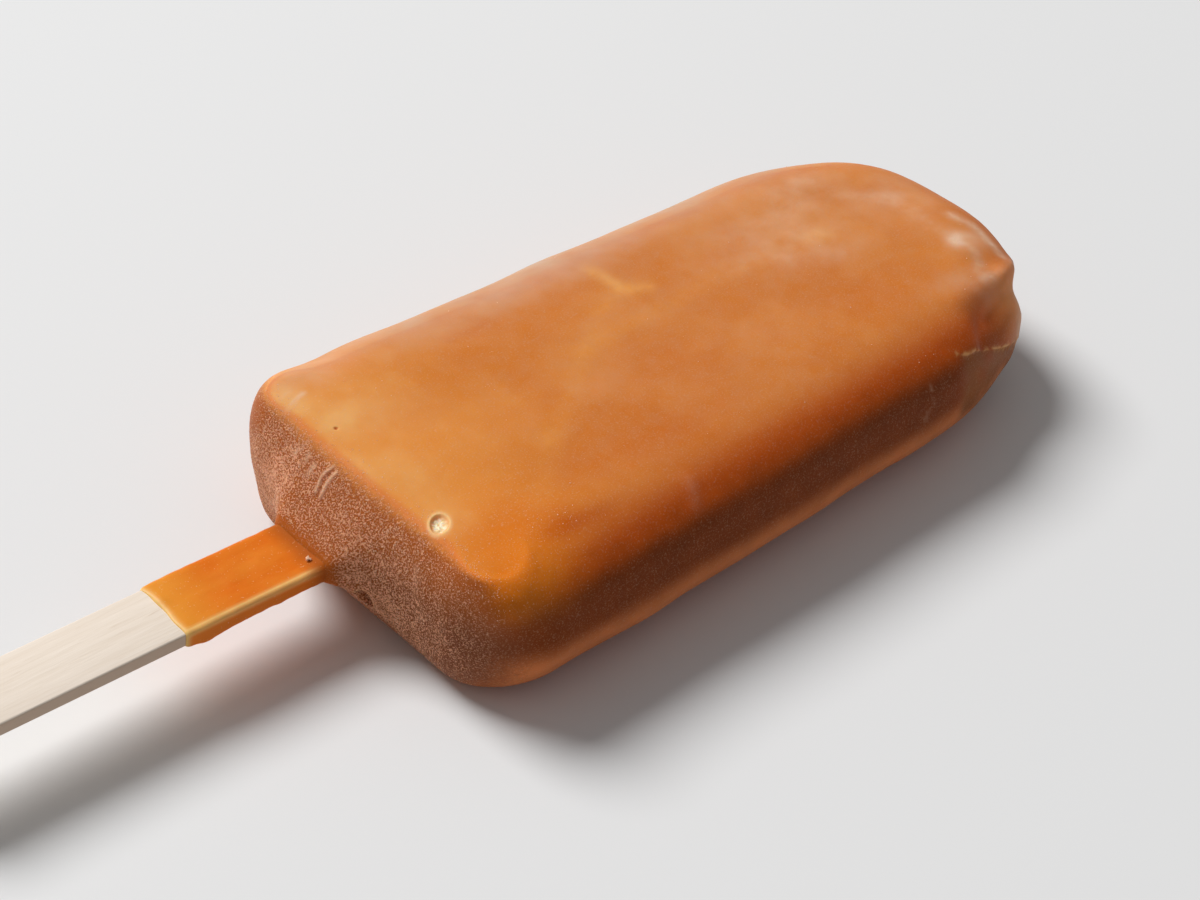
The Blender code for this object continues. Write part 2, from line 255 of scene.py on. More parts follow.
# Lines where the coat is thin and yellow.
YELLOW_LINES = (
    (
        (
            (27.2, -7.4, 10.6), (34.6, -3.0, 10.8), (43.4, 3.9, 10.7), (54.1, 4.5, 10.9), (68.2, 5.3, 10.7),
            (88.3, 3.6, 11.0),
        ), 1.7, 0.13,
    ),
    (((43.4, 3.9, 10.7), (50.8, 9.0, 10.9), (56.0, 11.0, 10.7)), 1.5, 0.13),
    (((55.7, 16.9, 10.7), (56.6, 13.4, 10.7), (57.6, 10.1, 10.7), (60.0, 9.4, 10.7)), 1.2, 0.36),
    (((27.0, -7.6, 10.6), (22.7, -11.5, 10.6), (18.0, -15.8, 10.9)), 1.6, 0.12),
)

# Lines of darker, redder coat.
RED_LINES = (
    (((38.2, 23.8, 8.9), (41.7, 20.5, 10.1), (51.8, 19.0, 10.6), (58.0, 20.5, 10.2)), 1.3, 0.40),
    (((50.0, 22.5, 9.4), (60.0, 21.0, 10.0), (66.0, 20.5, 10.2)), 1.0, 0.35),
    (((64.6, 18.6, 10.2), (70.0, 19.5, 10.2), (78.0, 19.0, 10.2)), 0.8, 0.30),
    (((30.0, 16.5, 10.7), (37.0, 16.0, 10.7)), 1.2, 0.22),
    (((95.2, -21.6, 8.4), (94.2, -23.2, 7.4), (93.6, -24.2, 6.4)), 0.9, 0.50),
)

# Thicker and bare places of the frost on the stick end: centre, reach and strength.
FROST_EVERYWHERE = 0.36
FROST_THICK = (
    ((0.0, -6.0, 0.5), (np.inf, 4.0, 4.0), 0.12),
    ((0.0, -8.0, -5.0), (np.inf, 9.0, 4.0), 0.30),
)
FROST_BARE = (
    ((0.0, 22.5, 7.5), (np.inf, 5.0, 3.6), 1.0),
    ((0.0, -25.5, 8.0), (np.inf, 3.0, 4.0), 0.8),
    ((0.0, -20.0, 9.8), (np.inf, 5.0, 2.6), 0.7),
)

# Places that take a colour of their own or painted light: centre and reach.
# The near corner's amber is a painted glow of light through the coat; beside it the amber is the thin coat's
# own.
AMBER_CORNER_GLOW = ((8.0, -24.5, 9.5), (7.0, 5.0, 3.4))
AMBER_BESIDE = ((11.0, -18.5, 0.0), (8.0, 5.0, np.inf))
# Painted light lifting the shade in the fold at the tip.
FOLD_LIT_PLACE = ((106.5, -18.5, 4.5), (6.0, 5.0, 5.5))

FLAKE = (0.2, 5.5, 8.3)

# Larger crystals: place and radius.
CRYSTALS = (
    ((-6.2, 0.7, 1.78), 0.42),
    ((-6.0, 0.4, 1.76), 0.30),
    ((-6.4, 0.5, 1.86), 0.28),
    ((-0.95, -5.3, 5.6), 0.16),
    ((-0.90, -5.5, 5.5), 0.18),
    ((-0.85, -5.7, 5.4), 0.16),
    ((-0.80, -5.9, 5.3), 0.12),
)

GRID_STEPS = (52, 26, 17)

FROST_SEED = 7
FROST_GRAIN = 0.24
FROST_TRIES = 26000
SPECK_SEED = 19
STRAY_SPECKS = 70
# Groups of ice specks on the shown face: centre, spread and number.
SPECK_GROUPS = (
    ((18.9, -19.7), 1.0, 12),
    ((16.0, -18.0), 1.3, 8),
    ((28.0, 5.6), 0.35, 6),
    ((9.5, -24.5), 1.2, 9),
    ((12.5, -22.5), 0.9, 6),
    ((82.3, -23.7), 0.8, 6),
    ((5.0, 4.0), 2.5, 26),
    ((4.6, -9.4), 0.9, 14),
)

SLEEVE_ROOT = -2.0
SLEEVE_STEPS = (56, 14, 6)
SLEEVE_SQUARE = 9.0
MOUTH_ROUND = 0.9
TOP_FLARE = 0.5
SIDE_FLARE = 0.3
ROOT_EDGE = -3.5
ROOT_FALL = 1.5
# Drips along the sleeve: place along, across and up the stick, reach and height.
SLEEVE_LUMPS = (
    ((-23.6, -5.5, -1.6), 1.5, 0.30),
    ((-21.0, -5.5, -1.6), 1.6, 0.16),
    ((-25.8, 2.0, 1.6), 1.6, 0.12),
)

FLOOR_HALF = 3.0
FLOOR_GAP = 0.0002
KEY_PLACE = (-0.55, 1.9, 2.3)
KEY_SIZE = 1.5
KEY_POWER = 92.0
WORLD_LIGHT = 0.23

# Colours of the coat, linear.
CARAMEL = (0.635, 0.188, 0.028)
CARAMEL_PALE = (0.680, 0.228, 0.046)
CARAMEL_WARM = (0.785, 0.268, 0.036)
THIN_YELLOW = (0.830, 0.400, 0.125)
POOLED = (0.460, 0.072, 0.003)
# Painted shade of the near slopes, where the shown face turns down.
EDGE_SHADE_ORANGE = (0.570, 0.096, 0.008)
# Painted shade of the near walls, over a coat that is thicker there.
NEAR_WALL_SHADE = (0.205, 0.040, 0.005)
# Painted bounce light: the lower walls lighter than the shade above them.
LOWER_RIM_BOUNCE_LIGHT = (0.600, 0.180, 0.058)
# Amber of the thin coat, and at the near corner a painted glow of light through it.
AMBER_THIN_AND_GLOW = (0.780, 0.205, 0.011)
END_BROWN = (0.380, 0.092, 0.015)
COLLAR_ORANGE = (0.450, 0.104, 0.010)
# Painted shade inside the low hole on the stick end.
LOW_HOLE_SHADE = (0.120, 0.026, 0.006)
# Painted shade of the stick end, towards its near lower part.
END_NEAR_SHADE = (0.200, 0.056, 0.020)
CHIPPED_BROWN = (0.290, 0.088, 0.022)
CHIP_PALE = (0.800, 0.420, 0.160)
# Painted light for the fold at the tip.
FOLD_PAINTED_LIGHT = (0.920, 0.370, 0.140)
PALE_FROST = (0.820, 0.520, 0.350)
LINE_YELLOW = (0.880, 0.380, 0.070)
LINE_RED = (0.540, 0.105, 0.010)
HAZE = (0.590, 0.360, 0.235)
FROST_WHITE = (0.900, 0.430, 0.250)
BUBBLE_RIM = (0.920, 0.600, 0.280)
BUBBLE_TAN = (0.860, 0.600, 0.300)
BUBBLE_CREAM = (0.960, 0.850, 0.620)

# Colours of the coat on the stick, the grains, the wood and the floor.
SLEEVE_DEEP = (0.745, 0.165, 0.008)
SLEEVE_PALE = (0.795, 0.218, 0.018)
SLEEVE_YELLOW = (0.840, 0.330, 0.035)
SLEEVE_SIDE = (0.800, 0.190, 0.010)
# Pale near top edge of the sleeve: thin coat with a painted highlight.
SLEEVE_RIDGE_HIGHLIGHT = (0.980, 0.620, 0.220)
SLEEVE_MOUTH = (0.900, 0.560, 0.190)
SLEEVE_DUST = (0.880, 0.620, 0.360)
GRAIN_DIM = (0.840, 0.430, 0.240)
GRAIN_BRIGHT = (0.940, 0.700, 0.520)
WOOD_DARK = (0.800, 0.680, 0.560)
WOOD_PALE = (0.880, 0.770, 0.660)
WOOD_PORE = (0.600, 0.450, 0.320)
WOOD_CUT = (0.620, 0.460, 0.345)
FLOOR_DARK = (0.800, 0.800, 0.800)
FLOOR_PALE = (0.815, 0.815, 0.815)
SCATTERING = (1.0, 0.42, 0.16)

# The camera, as the photo was taken.
CAMERA_AZIMUTH = -46.44
CAMERA_ELEVATION = 40.115
CAMERA_ROLL = 6.83
CAMERA_DISTANCE = 438.9
CAMERA_TARGET = (40.3, -4.1, 0.0)
CAMERA_LENS = 97.14
SENSOR_WIDTH = 36.0

bar_end_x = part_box("stick")[0].x / MM + STICK_SHOWN
ROW_SHIFT = np.array([bar_end_x, 0.0, 0.5 * BAR_THICKNESS])


def to_row(points):
    return (np.asarray(points) + ROW_SHIFT) * MM


def smooth_share(value):
    value = np.clip(value, 0.0, 1.0)
    return value * value * (3.0 - 2.0 * value)


def ease(value, start, end):
    """0 before a start, 1 past an end and smooth between; the end may be the lower."""
    return smooth_share((value - start) / (end - start))


def bell(distance):
    return np.exp(-distance ** 2)


def closeness(points, centre, reach):
    """1 at a centre and fading out around it; an infinite reach leaves its axis out."""
    return np.exp(-(((points - centre) / reach) ** 2).sum(axis=1))


def noise_at(points, size, seed, octaves=1):
    """Smooth noise between about -1 and 1, with lumps of the given size."""
    shift = Vector((17.3 * seed, 5.1 * seed, 9.7 * seed))
    return np.array([
        noise.fractal(Vector(point) / size + shift, 0.9, 2.1, octaves) for point in points
    ])


def half_width(x):
    return 0.5 * (BAR_WIDTH - SIDE_TAPER * x / BAR_LENGTH)


def half_outline():
    """Half of the bar's plan with its normals, and the places 0 to 3 along it."""
    radius = END_CORNER_RADIUS
    turns = np.linspace(0.0, 0.5 * math.pi, OUTLINE_STEPS)
    end_y = np.linspace(0.0, half_width(0.0) - radius, OUTLINE_STEPS)
    end = np.column_stack([np.zeros(OUTLINE_STEPS), end_y])
    corner = np.column_stack([radius - radius * np.cos(turns), end_y[-1] + radius * np.sin(turns)])
    power = 2.0 / TIP_POWER
    tip_start = BAR_LENGTH - TIP_LENGTH
    tip = np.column_stack([
        tip_start + TIP_LENGTH * np.sin(turns) ** power,
        half_width(tip_start) * np.clip(np.cos(turns), 0.0, 1.0) ** power,
    ])
    side_share = np.linspace(0.0, 1.0, OUTLINE_STEPS)[:, None]
    side = corner[-1] + (tip[0] - corner[-1]) * side_share
    points = np.vstack([end, corner[1:], side[1:], tip[1:]])
    around = np.vstack([points[1] * (1, -1), points, points[-2] * (1, -1)])
    steps = around[2:] - around[:-2]
    normals = np.column_stack([-steps[:, 1], steps[:, 0]])
    normals /= np.linalg.norm(normals, axis=1)[:, None]
    padded = np.vstack([
        normals[NORMAL_BLEND:0:-1] * (1, -1), normals, normals[-2:-NORMAL_BLEND - 2:-1] * (1, -1),
    ])
    blend = np.ones(2 * NORMAL_BLEND + 1) / (2 * NORMAL_BLEND + 1)
    normals = np.column_stack([np.convolve(padded[:, axis], blend, "valid") for axis in (0, 1)])
    lengths = np.concatenate([[0.0], np.cumsum(np.linalg.norm(np.diff(points, axis=0), axis=1))])
    corner_middle = OUTLINE_STEPS + OUTLINE_STEPS // 2
    tip_corner = 3 * OUTLINE_STEPS + OUTLINE_STEPS // 2
    anchors = [0.0, lengths[corner_middle], lengths[tip_corner], lengths[-1]]
    return points, normals, np.interp(lengths, anchors, [0.0, 1.0, 2.0, 3.0])


OUTLINE_POINTS, OUTLINE_NORMALS, OUTLINE_PLACES = half_outline()


def edge_points(a, b, c):
    """Points and outward normals on the bar's rounded edge; c is -1 below, 1 above."""
    side = np.where(b < 0.0, -1.0, 1.0)
    on_side = np.abs(b) > 0.99999
    place = np.where(on_side, 1.5 + 0.5 * a, np.where(a < 0.0, np.abs(b), 3.0 - np.abs(b)))
    x, y = (np.interp(place, OUTLINE_PLACES, OUTLINE_POINTS[:, axis]) for axis in (0, 1))
    nx, ny = (np.interp(place, OUTLINE_PLACES, OUTLINE_NORMALS[:, axis]) for axis in (0, 1))
    size = np.hypot(nx, ny)
    nx, ny, y = nx / size, side * ny / size, side * y

    stick_end = np.where(c > 0.0, EDGE_INSET_END, EDGE_INSET_END_BACK)
    fullness = np.where(ny < 0.0, CORNER_FULLNESS_NEAR, CORNER_FULLNESS_FAR) * np.abs(nx * ny) * (c > 0.0)
    end_inset = np.where(nx > 0.0, EDGE_INSET_TIP, stick_end)
    inset = end_inset * nx ** 2 + EDGE_INSET_SIDE * ny ** 2 - np.where(nx > 0.0, 0.0, fullness)

    turn = 0.5 * math.pi * (1.0 - (1.0 - np.abs(c)) ** (0.5 * EDGE_POWER))
    along = np.clip(np.cos(turn), 0.0, 1.0) ** (2.0 / EDGE_POWER)
    up = np.sin(turn) ** (2.0 / EDGE_POWER)
    reach = inset * (1.0 - along)
    points = np.column_stack([x - nx * reach, y - ny * reach, 0.5 * BAR_THICKNESS * np.copysign(up, c)])
    tilt = along ** (EDGE_POWER - 1.0) / inset
    lift = np.copysign(up ** (EDGE_POWER - 1.0), c) / (0.5 * BAR_THICKNESS)
    normals = np.column_stack([nx * tilt, ny * tilt, lift])
    return points, normals / np.linalg.norm(normals, axis=1)[:, None]


def face_points(a, b, c):
    """Points inside the top and bottom faces, blended from the faces' four edges."""
    u, v = (0.5 + 0.5 * a)[:, None], (0.5 + 0.5 * b)[:, None]
    low, high = np.full(len(a), -1.0), np.full(len(a), 1.0)

    def rim(along, across):
        return edge_points(along, across, c)[0]

    sides = rim(a, low) * (1.0 - v) + rim(a, high) * v + rim(low, b) * (1.0 - u) + rim(high, b) * u
    corners = (
        rim(low, low) * (1.0 - u) * (1.0 - v) + rim(high, low) * u * (1.0 - v)
        + rim(low, high) * (1.0 - u) * v + rim(high, high) * u * v
    )
    return sides - corners, np.column_stack([np.zeros(len(a)), np.zeros(len(a)), c])


def waves(points):
    x, y, z = points.T
    along = 2.0 * math.pi * x / WAVE_LENGTH_ALONG
    across = 2.0 * math.pi * y / WAVE_LENGTH_ACROSS
    through = 2.0 * math.pi * z / BAR_THICKNESS
    swell = np.sin(along + 0.6 * np.sin(across)) + np.sin(1.7 * across + 0.5 * along + 1.0)
    return 0.5 * WAVE_HEIGHT * (swell + np.sin(2.3 * along + 0.5 * through))


def marks(points):
    total = np.zeros(len(points))
    for centre, reach, height in SURFACE_MARKS.values():
        total += height * bell(np.linalg.norm(points - centre, axis=1) / reach)
    return total


def line_distance(points, line):
    """How far points are from a line of straight pieces."""
    line = np.array(line)
    found = np.full(len(points), np.inf)
    for start, end in zip(line[:-1], line[1:]):
        step = end - start
        share = np.clip((points - start) @ step / (step @ step), 0.0, 1.0)
        found = np.minimum(found, np.linalg.norm(points - start - share[:, None] * step, axis=1))
    return found


def creases(points, lines):
    total = np.zeros(len(points))
    for line, reach, height in lines.values():
        total += height * bell(line_distance(points, line) / reach)
    return total


def below_chip(points):
    """How far points on the tip's near side are below the edge of the chip."""
    x, y, z = points.T
    return np.where((x > CHIP_X[0]) & (y < -10.0), np.interp(x, CHIP_X, CHIP_Z) - z, -BAR_THICKNESS)


def chipped(points):
    """Where the coat is chipped off along the tip's near side, from 0 to 1."""
    below = below_chip(points)
    edge = ease(below, 0.0, CHIP_STEP) * ease(points[:, 0], CHIP_X[0], CHIP_X[0] + CHIP_RUN_IN)
    return edge * ease(below, 2.0 * CHIP_FADE, CHIP_FADE)


def stick_distance(points):
    """How far points on the stick end are from the stick, beside and above it."""
    beside = np.maximum(np.abs(points[:, 1] - STICK_OFFSET) - 0.5 * STICK_WIDTH, 0.0)
    above = np.maximum(np.abs(points[:, 2]) - 0.5 * STICK_THICKNESS, 0.0)
    return beside, above


def collar(points):
    beside, above = stick_distance(points)
    fall = np.where(points[:, 2] > 0.0, COLLAR_FALL, COLLAR_FALL_BELOW)
    far = np.hypot(beside / COLLAR_FALL, above / fall)
    near = np.exp(COLLAR_ROUNDING - np.hypot(far, COLLAR_ROUNDING))
    return COLLAR_REACH * near * ease(points[:, 0], COLLAR_DEPTH, 0.0)


def rounded_bar(cube):
    """The plain rounded bar: points and normals for points on the unit cube."""
    a, b, c = cube.T
    on_edge = np.maximum(np.abs(a), np.abs(b)) > 0.99999
    points, normals = np.zeros_like(cube), np.zeros_like(cube)
    points[on_edge], normals[on_edge] = edge_points(a[on_edge], b[on_edge], c[on_edge])
    points[~on_edge], normals[~on_edge] = face_points(a[~on_edge], b[~on_edge], c[~on_edge])
    return points, normals


def off_back(points, stretch):
    """0 on the flat back, and 1 from a stretch above it."""
    back = -0.5 * BAR_THICKNESS
    return ease(points[:, 2], back, back + stretch)


def swollen(points, normals):
    """The bar with its waves, dents and the collar round the stick."""
    free = off_back(points, BAR_THICKNESS / 3.0)
    relief = waves(points) + marks(points) + creases(points, CREASES) - CHIP_DEPTH * chipped(points)
    moved = points + normals * (relief * free)[:, None]
    moved[:, 0] -= collar(points)
    return moved


def relaxed(shape, cube, points):
    """Evens out the grid inside the top and bottom faces."""
    ends = np.array([[vert.index for vert in edge.verts] for edge in shape.edges])
    first, second = np.concatenate([ends[:, 0], ends[:, 1]]), np.concatenate([ends[:, 1], ends[:, 0]])
    count = np.bincount(first, minlength=len(points))
    free = np.maximum(np.abs(cube[:, 0]), np.abs(cube[:, 1])) < 0.99999
    points = points.copy()
    for _ in range(RELAX_ROUNDS):
        for axis in (0, 1):
            mean = np.bincount(first, points[second, axis], len(points)) / count
            points[free, axis] = mean[free]
    return points


def frost_cover(points, normals):
    """Where the stick end is white with frost, from 0 to 1."""
    x, y, _ = points.T
    end = ease(x, 4.5, -1.5) * ease(-normals[:, 0], 0.25, 0.75)
    beside, above = stick_distance(points)
    clear = ease(np.hypot(beside, above), 0.8, 2.2)
    more = 0.38 * ease(y, 6.0, 18.0) - 0.10 * ease(y, -9.0, -18.0)
    for centre, reach, strength in FROST_THICK:
        more += strength * closeness(points, centre, reach)
    bare = np.zeros(len(points))
    for centre, reach, strength in FROST_BARE:
        bare = np.maximum(bare, strength * closeness(points, centre, reach))
    return np.clip(end * (FROST_EVERYWHERE + more) * (1.0 - bare) * clear, 0.0, 1.0)


def bubble_relief(points):
    """Depth of the broken bubbles, and how far each point is inside one or on a rim."""
    height, inside, rim = np.zeros(len(points)), np.zeros(len(points)), np.zeros(len(points))
    for centre, sizes, depth, pale in BUBBLES.values():
        x, y, z = (points - centre).T
        turned = np.column_stack([(x + y) * math.sqrt(0.5), (x - y) * math.sqrt(0.5), z])
        share = np.linalg.norm(turned / sizes, axis=1)
        off_rim = share - BUBBLE_RIM_PLACE
        height -= depth * np.clip(1.0 - share ** 2, 0.0, 1.0) ** BUBBLE_STEEPNESS
        height += BUBBLE_RIM_HEIGHT * pale * bell(off_rim / BUBBLE_RIM_WIDTH)
        inside = np.maximum(inside, pale * ease(share, 1.02, 0.62))
        rim = np.maximum(rim, pale * bell(off_rim / BUBBLE_PALE_WIDTH))
    return height, inside, rim


def lumpy(points, layer):
    """A layer of unevenness, from its height, the size of its lumps and its seed."""
    height, size, seed = layer
    return height * noise_at(points, size, seed, 2)


def fine_bar(base, normals):
    """The bar's whole surface with its frost, and what its finish depends on."""
    points = swollen(base, normals)
    frost = frost_cover(points, normals)
    free = off_back(points, BAR_THICKNESS / 6.0)
    height = lumpy(points, COAT_SWELL) + lumpy(points, COAT_RIPPLE) + creases(points, SCARS)
    grit = lumpy(points, FROST_GRIT) + PRICKLE_HEIGHT * np.abs(noise_at(points, PRICKLE_SIZE, 4))
    height += frost * (grit + lumpy(points, FROST_CRUST))
    dug, inside, rim = bubble_relief(points)
    moved = points + normals * (height * free + dug + inside * lumpy(points, BUBBLE_GRIT))[:, None]
    return moved, points, frost, inside, rim


def spots(points, places):
    """Sum of soft spots on the shown face, from their centres and reaches."""
    total = np.zeros(len(points))
    for (x, y), (along, across), strength in places:
        far = ((points[:, 0] - x) / along) ** 2 + ((points[:, 1] - y) / across) ** 2
        total += strength * np.exp(-far)
    return np.clip(total, 0.0, 1.0)


def cube_grid(steps):
    """A cube from -1 to 1, cut into the given number of steps on each axis."""
    shape = bmesh.new()
    bmesh.ops.create_cube(shape, size=2.0)
    for axis, count in enumerate(steps):
        direction = Vector((0.0, 0.0, 0.0))
        direction[axis] = 1.0
        for step in range(1, count):
            place = direction * (2.0 * step / count - 1.0)
            parts = shape.verts[:] + shape.edges[:] + shape.faces[:]
            bmesh.ops.bisect_plane(shape, geom=parts, dist=1e-6, plane_co=place, plane_no=direction)
    return shape


def vertex_array(shape):
    return np.array([vert.co for vert in shape.verts], float)


def refine(shape, wanted):
    """Cut the edges whose two ends are both wanted."""
    shape.verts.index_update()
    edges = [edge for edge in shape.edges if all(wanted[vert.index] for vert in edge.verts)]
    bmesh.ops.subdivide_edges(shape, edges=edges, cuts=1, use_grid_fill=True)


def relaxed_bar(shape):
    shape.verts.index_update()
    cube = vertex_array(shape)
    points, normals = rounded_bar(cube)
    return relaxed(shape, cube, points), normals


def near_any(points, places):
    found = np.zeros(len(points), bool)
    for centre, reach in places:
        found |= np.linalg.norm(points - centre, axis=1) < reach
    return found


def mesh_from(name, shape):
    mesh = bpy.data.meshes.new(name)
    shape.to_mesh(mesh)
    shape.free()
    return mesh


def new_object(name, mesh, material):
    mesh.materials.append(material)
    thing = bpy.data.objects.new(name, mesh)
    bpy.context.scene.collection.objects.link(thing)
    return thing


def new_piece(name, shape, material, node):
    """A smooth piece from a bmesh, riding with the lolly in place of a node."""
    mesh = mesh_from(name, shape)
    mesh.shade_smooth()
    piece = new_object(name, mesh, material)
    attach(piece, "root")
    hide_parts(node)
    return piece


def move_vertices(mesh, points):
    mesh.vertices.foreach_set("co", to_row(points).astype(np.float32).ravel())
    mesh.update()


def paint_tint(mesh, name, tint):
    layer = mesh.attributes.new(name, "FLOAT_COLOR", "POINT")
    layer.data.foreach_set("color", np.column_stack([tint, np.ones(len(tint))]).astype(np.float32).ravel())


def paint(mesh, name, values):
    layer = mesh.attributes.new(name, "FLOAT", "POINT")
    layer.data.foreach_set("value", np.asarray(values, np.float32))


def blend(tint, share, other):
    share = np.clip(share, 0.0, 1.0)[:, None]
    return tint * (1.0 - share) + np.array(other) * share


def strokes(points, lines):
    total = np.zeros(len(points))
    for line, reach, strength in lines:
        total += strength * bell(line_distance(points, line) / reach)
    return np.clip(total * (1.0 + 0.6 * noise_at(points, 1.1, 33, 2)), 0.0, 1.0)


def shown_face(points):
    """1 on the shown face, 0 on the lower walls."""
    return ease(points[:, 2], 5.0, 9.0)


def coat_tint(points, normals, chip):
    """Colours of the coat: yellow where thin, painted shade where the near side turns down, a painted lighter
    lower rim, painted light at the near corner and in the fold, hazy far off.
    """
    x, y, z = points.T
    nx, ny, _ = normals.T
    side = np.hypot(nx, ny)
    shown = shown_face(points)
    uneven = 1.0 + 0.7 * noise_at(points, 4.0, 32, 3)
    tint = np.tile(CARAMEL, (len(points), 1))
    tint = blend(tint, smooth_share(0.5 + 1.1 * noise_at(points, 12.0, 31, 3)), CARAMEL_PALE)
    tint = blend(tint, 0.85 * shown * ease(x, 38.0, 2.0), CARAMEL_WARM)
    mottled = smooth_share(-0.2 + 1.6 * noise_at(points * (1.0, 0.7, 1.0), 4.5, 34, 3))
    tint = blend(tint, 0.22 * mottled * shown * ease(x, 45.0, 5.0), THIN_YELLOW)
    tint = blend(tint, strokes(points, YELLOW_LINES), LINE_YELLOW)
    tint = blend(tint, strokes(points, RED_LINES), LINE_RED)
    tint = blend(tint, spots(points, THIN_PLACES) * shown * (0.35 + 0.65 * uneven), THIN_YELLOW)
    tint = blend(tint, spots(points, POOLED_PLACES) * shown, POOLED)
    # Painted shade, growing as the near side turns down from the shown face; weaker at the tip.
    edge = ease(side, 0.02, 0.64) * (ny < 0.3) * ease(nx, -0.7, -0.2)
    edge *= 1.0 - 0.6 * ease(x, 98.0, 106.0) * ease(z, 4.0, 8.0)
    tint = blend(tint, edge, EDGE_SHADE_ORANGE)
    # Painted shade on the walls turned down on the near side, over the thicker coat there; left off the far
    # side.
    near_shade = ease(side, 0.72, 0.94) * (1.0 - 0.45 * ease(x, 84.0, 98.0))
    near_shade *= 1.0 - 0.85 * ease(ny, 0.2, 0.6)
    tint = blend(tint, near_shade, NEAR_WALL_SHADE)
    # Painted bounce light on the lower walls.
    tint = blend(tint, ease(side, 0.5, 0.9) * ease(z, 0.8, -3.7), LOWER_RIM_BOUNCE_LIGHT)
    # Painted glow of light through the coat at the near corner; beside it on the shown face, the thin coat's
    # amber.
    tint = blend(tint, 1.3 * closeness(points, *AMBER_CORNER_GLOW), AMBER_THIN_AND_GLOW)
    tint = blend(tint, 0.70 * closeness(points, *AMBER_BESIDE) * shown, AMBER_THIN_AND_GLOW)
    tint = blend(tint, 0.95 * chip * uneven, CHIPPED_BROWN)
    far = ease(y, 15.0, 24.0) * ease(x, -5.0, 53.0) * ease(z, 1.0, 8.0)
    patchy = 0.80 + 0.45 * noise_at(points * (0.5, 1.0, 1.0), 5.0, 35, 3)
    tint = blend(tint, far * patchy, HAZE)
    # Painted light in the fold at the tip, off the chip.
    tint = blend(tint, 0.80 * closeness(points, *FOLD_LIT_PLACE) * (1.0 - chip), FOLD_PAINTED_LIGHT)
    tint = blend(tint, spots(points, HAZY_PLACES) * shown * uneven + strokes(points, PALE_LINES), PALE_FROST)
    return tint * (1.0 + 0.12 * noise_at(points, 3.0, 37, 3) * ease(side, 0.4, 0.7))[:, None]


def end_tint(points):
    """Colours of the stick end under its frost, with painted shade towards its near lower part and inside the
    low hole.
    """
    _, y, z = points.T
    tint = np.tile(END_BROWN, (len(points), 1))
    # Painted shade towards the near lower part of the stick end.
    tint = blend(tint, ease(y, 4.0, -14.0) * ease(z, 9.0, 0.0), END_NEAR_SHADE)
    beside, above = stick_distance(points)
    tint = blend(tint, bell(np.hypot(beside, above) / 1.7), COLLAR_ORANGE)
    tint = blend(tint, strokes(points, PALE_LINES), PALE_FROST)
    # Painted shade inside the low hole.
    hole = np.linalg.norm((points - BUBBLES["low"][0]) / BUBBLES["low"][1], axis=1)
    return blend(tint, ease(hole, 1.1, 0.7), LOW_HOLE_SHADE)


def bar_grid():
    """The cube that becomes the bar: coarse below, fine round the bubbles and the chip."""
    shape = cube_grid(GRID_STEPS)
    refine(shape, np.ones(len(shape.verts), bool))
    cube = vertex_array(shape)
    below = (cube[:, 2] < -0.999) & (np.abs(cube[:, :2]) < 0.999).all(axis=1)
    refine(shape, ~below)
    large, low, pinhole = (np.array(bubble[0]) for bubble in BUBBLES.values())
    for extra in (1.4, 0.8):
        points = relaxed_bar(shape)[0]
        places = (large, 1.6 + extra), (low, 1.9 + extra), (pinhole, extra), (FLAKE, 2.0 + extra)
        refine(shape, near_any(points, places) | (np.abs(below_chip(points)) < 0.6 * extra))
    return shape


def make_bar(material):
    shape = bar_grid()
    base, normals = relaxed_bar(shape)
    moved, points, frost, inside, rim = fine_bar(base, normals)
    piece = new_piece("frozen_bar", shape, material, "coated_bar")
    mesh = piece.data
    move_vertices(mesh, moved)
    x, y, z = points.T
    broken = np.clip(0.6 + 1.3 * noise_at(base, 1.3, 36, 2), 0.0, 1.0)
    chip_edge = 0.75 * bell(below_chip(base) / 0.28) * broken
    tint = blend(coat_tint(points, normals, chipped(base)), chip_edge, CHIP_PALE)
    paint_tint(mesh, "tint", blend(tint, 0.7 * rim, BUBBLE_RIM))
    paint_tint(mesh, "end_tint", blend(end_tint(points), 0.7 * rim, BUBBLE_RIM))
    near_corner = ease(x, 1.0, 5.0) * ease(y, -19.0, -24.0) * ease(z, 1.0, 7.0)
    paint(mesh, "end", np.clip((-normals[:, 0] - 0.30) / 0.60, 0.0, 1.0) * (1.0 - near_corner))
    paint(mesh, "frost", frost)
    level = smooth_share(1.0 - 1.4 * np.hypot(*normals[:, :2].T))
    paint(mesh, "cloud", shown_face(points) * level * (0.30 + 0.70 * ease(x, 8.0, 38.0)))
    paint(mesh, "dust", ease(z, 4.0, 8.0) * ease(x, 34.0, 4.0))
    paint(mesh, "bubble", inside)
    return piece


def crystal_shape():
    """One grain of frost: a lump with few faces."""
    shape = bmesh.new()
    bmesh.ops.create_uvsphere(shape, u_segments=4, v_segments=2, radius=1.0)
    bmesh.ops.scale(shape, vec=(1.0, 0.8, 0.65), verts=shape.verts)
    return shape


def scatter(name, centres, radii, rng, material):
    """Many turned copies of one frost grain, joined into one piece."""
    shape = crystal_shape()
    shape.verts.index_update()
    grain = vertex_array(shape)
    faces = np.array([[vert.index for vert in face.verts] for face in shape.faces])
    shape.free()
    turns = np.linalg.qr(rng.normal(size=(len(centres), 3, 3)))[0]
    turns[np.linalg.det(turns) < 0.0] *= -1.0
    points = np.einsum("vi,nij->nvj", grain, turns) * radii[:, None, None] + centres[:, None, :]
    faces = faces + np.arange(len(centres))[:, None, None] * len(grain)
    mesh = bpy.data.meshes.new(name)
    mesh.from_pydata(to_row(points.reshape(-1, 3)).tolist(), [], faces.reshape(-1, faces.shape[-1]).tolist())
    piece = new_object(name, mesh, material)
    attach(piece, "root")
    return piece


